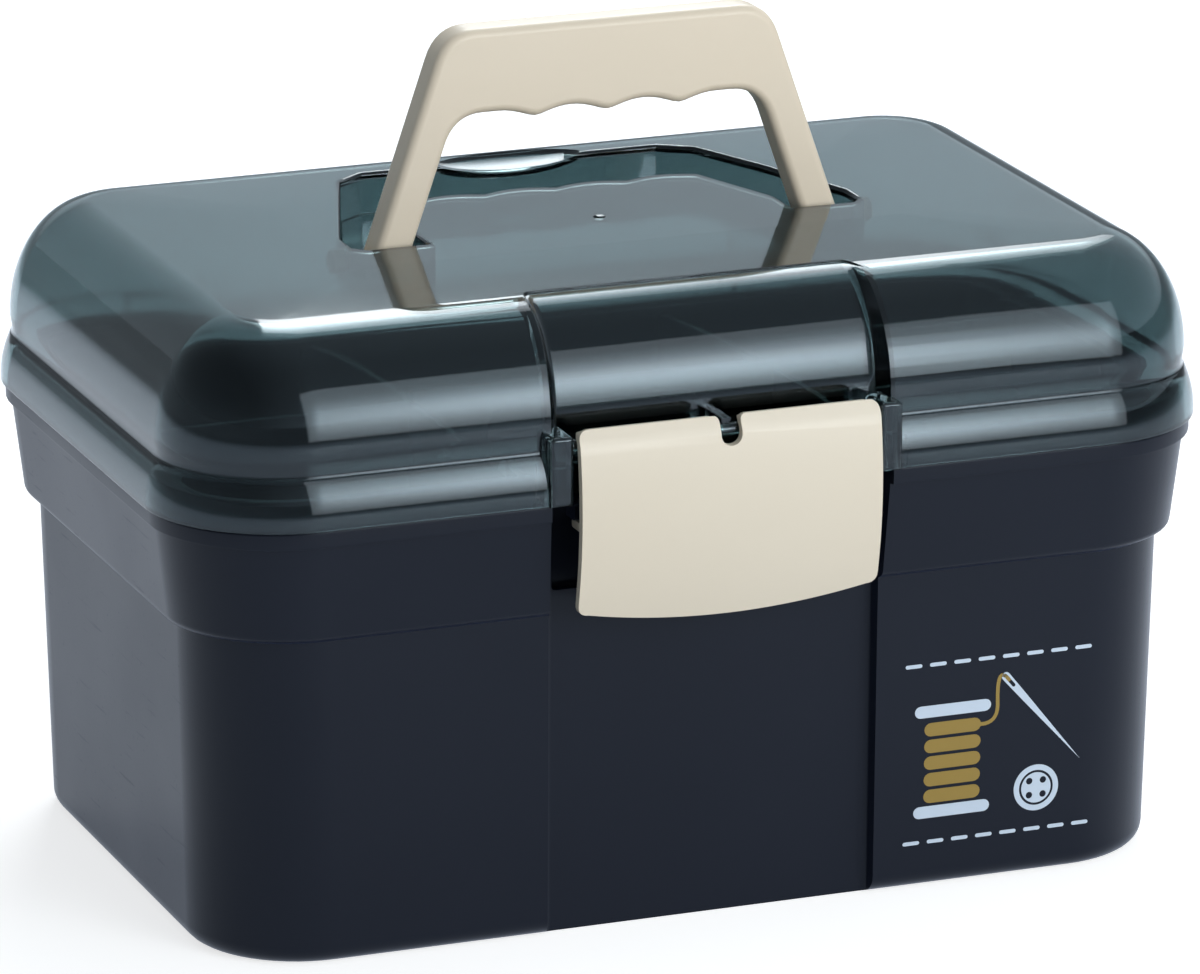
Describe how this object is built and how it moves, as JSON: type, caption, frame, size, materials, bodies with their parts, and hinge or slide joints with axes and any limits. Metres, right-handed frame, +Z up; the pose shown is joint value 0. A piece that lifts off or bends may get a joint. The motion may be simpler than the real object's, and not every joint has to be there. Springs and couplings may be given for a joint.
{
  "type": "sewing box",
  "caption": "Moulded plastic sewing box: rounded tub, smoke-tinted domed lid hinged at the back, folding carry handle in a trench, wide front latch and lift-out tray.",
  "frame": {"origin": "Middle of the flat underside, at the middle of the whole box's bounding box.", "axes": "+Z up, the front with the latch faces -Y, +X to the right seen from the front."},
  "size_m": [0.28, 0.1939, 0.2167],
  "materials": {
    "dark_plastic": "satin moulded plastic",
    "smoke_plastic": "clear smoke-tinted plastic",
    "beige_plastic": "satin moulded plastic",
    "pin_steel": "drawn wire"
  },
  "bodies": {
    "box_body": {"tub": "dark_plastic", "hinge_pin_left": "pin_steel", "hinge_pin_right": "pin_steel"},
    "lid_body": {"lid": "smoke_plastic"},
    "handle_body": {"carry_handle": "beige_plastic"},
    "latch_body": {"front_latch": "beige_plastic"},
    "tray_body": {"lift_out_tray": "dark_plastic"}
  },
  "joints": [
    {"name": "lid_hinge", "type": "hinge", "parent": "box_body", "child": "lid_body", "pos_m": [0, 0.0941, 0.1125], "axis": [-1, 0, 0], "range_deg": [0, 100]},
    {"name": "handle_fold", "type": "hinge", "parent": "lid_body", "child": "handle_body", "pos_m": [0, -0.0067, 0.1572], "axis": [-1, 0, 0], "range_deg": [0, 90]},
    {"name": "latch_swing", "type": "hinge", "parent": "lid_body", "child": "latch_body", "pos_m": [0, -0.0915, 0.1304], "axis": [-1, 0, 0], "range_deg": [0, 95]},
    {"name": "tray_lift", "type": "slide", "parent": "box_body", "child": "tray_body", "axis": [0, 0, 1], "range_m": [0, 0.022]}
  ]
}
